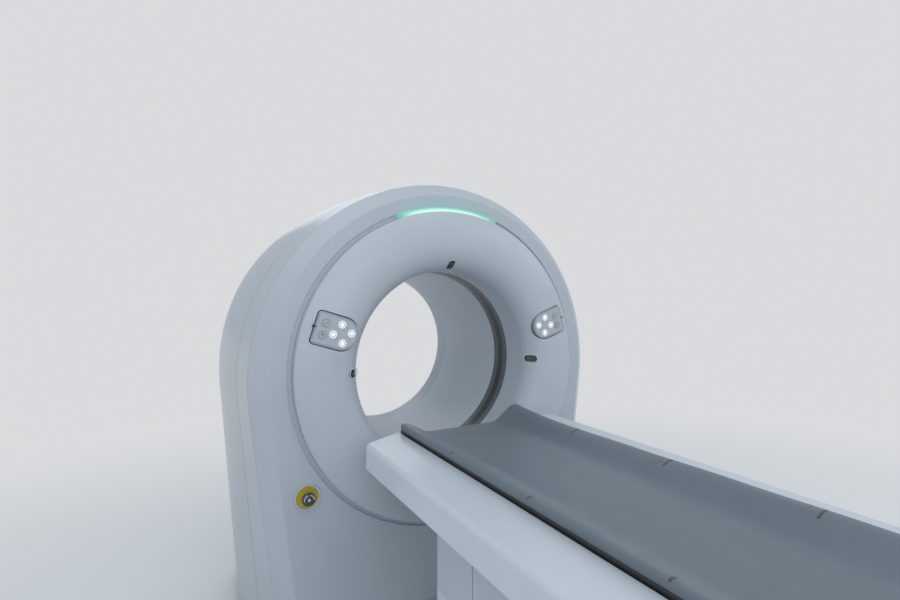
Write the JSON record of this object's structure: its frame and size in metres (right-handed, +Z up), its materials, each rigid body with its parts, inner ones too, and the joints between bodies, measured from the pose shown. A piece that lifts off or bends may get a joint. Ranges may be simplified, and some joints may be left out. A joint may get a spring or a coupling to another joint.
{
  "type": "ct scanner",
  "caption": "CT scanner with an arched ring gantry, a rotating x-ray drum inside, and a lifting patient table whose padded cradle slides into the bore.",
  "frame": {"origin": "on the floor under the gantry's plinth, straight below the scan plane on the bore's centre line", "axes": "+Y runs along the bore from the table into the gantry, +Z is up, +X is to the right when facing the gantry from the table"},
  "size_m": [1.4694, 3.3, 1.6549],
  "materials": {
    "cover_white": "glossy",
    "ring_white": "glossy",
    "panel_grey": "satin",
    "key_lit": "satin",
    "key_grey": "satin",
    "status_green": "glossy",
    "window_clear": "glossy",
    "laser_black": "polished",
    "stop_yellow": "satin",
    "stop_grey": "satin",
    "base_steel": "satin",
    "frame_steel": "satin",
    "bare_steel": "brushed",
    "drum_alloy": "machined",
    "unit_dark": "satin",
    "tube_metal": "satin",
    "detector_steel": "satin",
    "ring_brass": "machined",
    "belt_rubber": "matte",
    "fan_black": "matte",
    "duct_grey": "matte",
    "beam_white": "glossy",
    "table_alloy": "satin",
    "cradle_grey": "satin",
    "pad_vinyl": "satin"
  },
  "bodies": {
    "gantry": {"gantry_base": "base_steel", "main_frame": "frame_steel", "bearing_race": "bare_steel", "front_cover": "cover_white", "ring_panel": "ring_white", "status_light": "status_green", "middle_cover": "cover_white", "outer_shell": "cover_white", "rear_cover": "cover_white", "rear_funnel": "ring_white", "bore_liner_upper": "ring_white", "bore_liner_lower": "ring_white", "scan_window": "window_clear", "laser_windows": "laser_black", "control_panel_left": "panel_grey", "control_panel_right": "panel_grey", "estop_dish": "stop_yellow", "brush_block": "base_steel", "drive_motor": "unit_dark", "drive_belt": "belt_rubber", "cable_duct": "duct_grey", "table_base": "base_steel", "base_cover": "cover_white"},
    "rotor": {"rotor_drum": "drum_alloy", "slip_ring": "ring_brass", "xray_tube": "tube_metal", "hv_generator": "unit_dark", "heat_exchanger": "unit_dark", "detector_arc": "detector_steel"},
    "pulley": {"drive_pulley": "bare_steel"},
    "fan_l": {"fan_left": "fan_black"},
    "fan_r": {"fan_right": "fan_black"},
    "mid_stage": {"mid_cover": "cover_white", "column_sleeve": "bare_steel"},
    "screw": {"lift_screw": "bare_steel"},
    "table_top": {"table_frame": "table_alloy", "skirt_front": "cover_white", "skirt_rear": "cover_white", "beam_left": "beam_white", "beam_right": "beam_white", "foot_cover": "beam_white", "cradle_motor": "unit_dark"},
    "pinion": {"drive_pinion": "bare_steel"},
    "roller": {"front_roller": "bare_steel"},
    "cradle_body": {"cradle": "cradle_grey", "cradle_rack": "bare_steel", "mattress": "pad_vinyl"},
    "stop": {"estop_head": "stop_grey"},
    "key_left_up": {"left_button_up": "key_lit"},
    "key_left_down": {"left_button_down": "key_lit"},
    "key_left_in": {"left_button_in": "key_lit"},
    "key_left_out": {"left_button_out": "key_lit"},
    "key_left_confirm": {"left_button_confirm": "key_grey"},
    "key_left_light": {"left_button_light": "key_grey"},
    "key_right_up": {"right_button_up": "key_lit"},
    "key_right_down": {"right_button_down": "key_lit"},
    "key_right_in": {"right_button_in": "key_lit"},
    "key_right_out": {"right_button_out": "key_lit"},
    "key_right_confirm": {"right_button_confirm": "key_grey"},
    "key_right_light": {"right_button_light": "key_grey"}
  },
  "joints": [
    {"name": "rotor_spin", "type": "hinge", "parent": "gantry", "child": "rotor", "pos_m": [0, 0.2, 0.96], "axis": [0, 1, 0], "continuous": true},
    {"name": "pulley_spin", "type": "hinge", "parent": "gantry", "child": "pulley", "pos_m": [0.48, 0.144, 0.33], "axis": [0, 1, 0], "continuous": true},
    {"name": "fan_left_spin", "type": "hinge", "parent": "gantry", "child": "fan_l", "pos_m": [-0.45, 0.63, 0.25], "axis": [0, 1, 0], "continuous": true},
    {"name": "fan_right_spin", "type": "hinge", "parent": "gantry", "child": "fan_r", "pos_m": [0.45, 0.63, 0.25], "axis": [0, 1, 0], "continuous": true},
    {"name": "table_lift", "type": "slide", "parent": "gantry", "child": "table_top", "axis": [0, 0, 1], "range_m": [-0.27, 0.12]},
    {"name": "stage_lift", "type": "slide", "parent": "gantry", "child": "mid_stage", "axis": [0, 0, 1], "range_m": [-0.135, 0.06]},
    {"name": "screw_turn", "type": "hinge", "parent": "gantry", "child": "screw", "pos_m": [0, -1.287, 0.15], "axis": [0, 0, 1], "range_deg": [-4870, 2170]},
    {"name": "cradle_slide", "type": "slide", "parent": "table_top", "child": "cradle_body", "axis": [0, 1, 0], "range_m": [0, 1.5]},
    {"name": "pinion_spin", "type": "hinge", "parent": "table_top", "child": "pinion", "pos_m": [0.175, -0.9, 0.6577], "axis": [-1, 0, 0], "range_deg": [-5, 1915]},
    {"name": "roller_spin", "type": "hinge", "parent": "table_top", "child": "roller", "pos_m": [0, -0.33, 0.7037], "axis": [-1, 0, 0], "range_deg": [-5, 6150]},
    {"name": "stop_push", "type": "slide", "parent": "gantry", "child": "stop", "axis": [0, 1, 0], "range_m": [0, 0.005], "stiffness_N_per_m": 3000},
    {"name": "press_left_up", "type": "slide", "parent": "gantry", "child": "key_left_up", "axis": [0, 1, 0], "range_m": [0, 0.0012], "stiffness_N_per_m": 1500},
    {"name": "press_left_down", "type": "slide", "parent": "gantry", "child": "key_left_down", "axis": [0, 1, 0], "range_m": [0, 0.0012], "stiffness_N_per_m": 1500},
    {"name": "press_left_in", "type": "slide", "parent": "gantry", "child": "key_left_in", "axis": [0, 1, 0], "range_m": [0, 0.0012], "stiffness_N_per_m": 1500},
    {"name": "press_left_out", "type": "slide", "parent": "gantry", "child": "key_left_out", "axis": [0, 1, 0], "range_m": [0, 0.0012], "stiffness_N_per_m": 1500},
    {"name": "press_left_confirm", "type": "slide", "parent": "gantry", "child": "key_left_confirm", "axis": [0, 1, 0], "range_m": [0, 0.0012], "stiffness_N_per_m": 1500},
    {"name": "press_left_light", "type": "slide", "parent": "gantry", "child": "key_left_light", "axis": [0, 1, 0], "range_m": [0, 0.0012], "stiffness_N_per_m": 1500},
    {"name": "press_right_up", "type": "slide", "parent": "gantry", "child": "key_right_up", "axis": [0, 1, 0], "range_m": [0, 0.0012], "stiffness_N_per_m": 1500},
    {"name": "press_right_down", "type": "slide", "parent": "gantry", "child": "key_right_down", "axis": [0, 1, 0], "range_m": [0, 0.0012], "stiffness_N_per_m": 1500},
    {"name": "press_right_in", "type": "slide", "parent": "gantry", "child": "key_right_in", "axis": [0, 1, 0], "range_m": [0, 0.0012], "stiffness_N_per_m": 1500},
    {"name": "press_right_out", "type": "slide", "parent": "gantry", "child": "key_right_out", "axis": [0, 1, 0], "range_m": [0, 0.0012], "stiffness_N_per_m": 1500},
    {"name": "press_right_confirm", "type": "slide", "parent": "gantry", "child": "key_right_confirm", "axis": [0, 1, 0], "range_m": [0, 0.0012], "stiffness_N_per_m": 1500},
    {"name": "press_right_light", "type": "slide", "parent": "gantry", "child": "key_right_light", "axis": [0, 1, 0], "range_m": [0, 0.0012], "stiffness_N_per_m": 1500}
  ],
  "couplings": [
    {"joint": "pulley_spin", "follows": "rotor_spin", "ratio": 14},
    {"joint": "stage_lift", "follows": "table_lift", "ratio": 0.5},
    {"joint": "screw_turn", "follows": "table_lift", "rad_per_m": 314.16},
    {"joint": "pinion_spin", "follows": "cradle_slide", "rad_per_m": 22.222},
    {"joint": "roller_spin", "follows": "cradle_slide", "rad_per_m": 71.429}
  ]
}
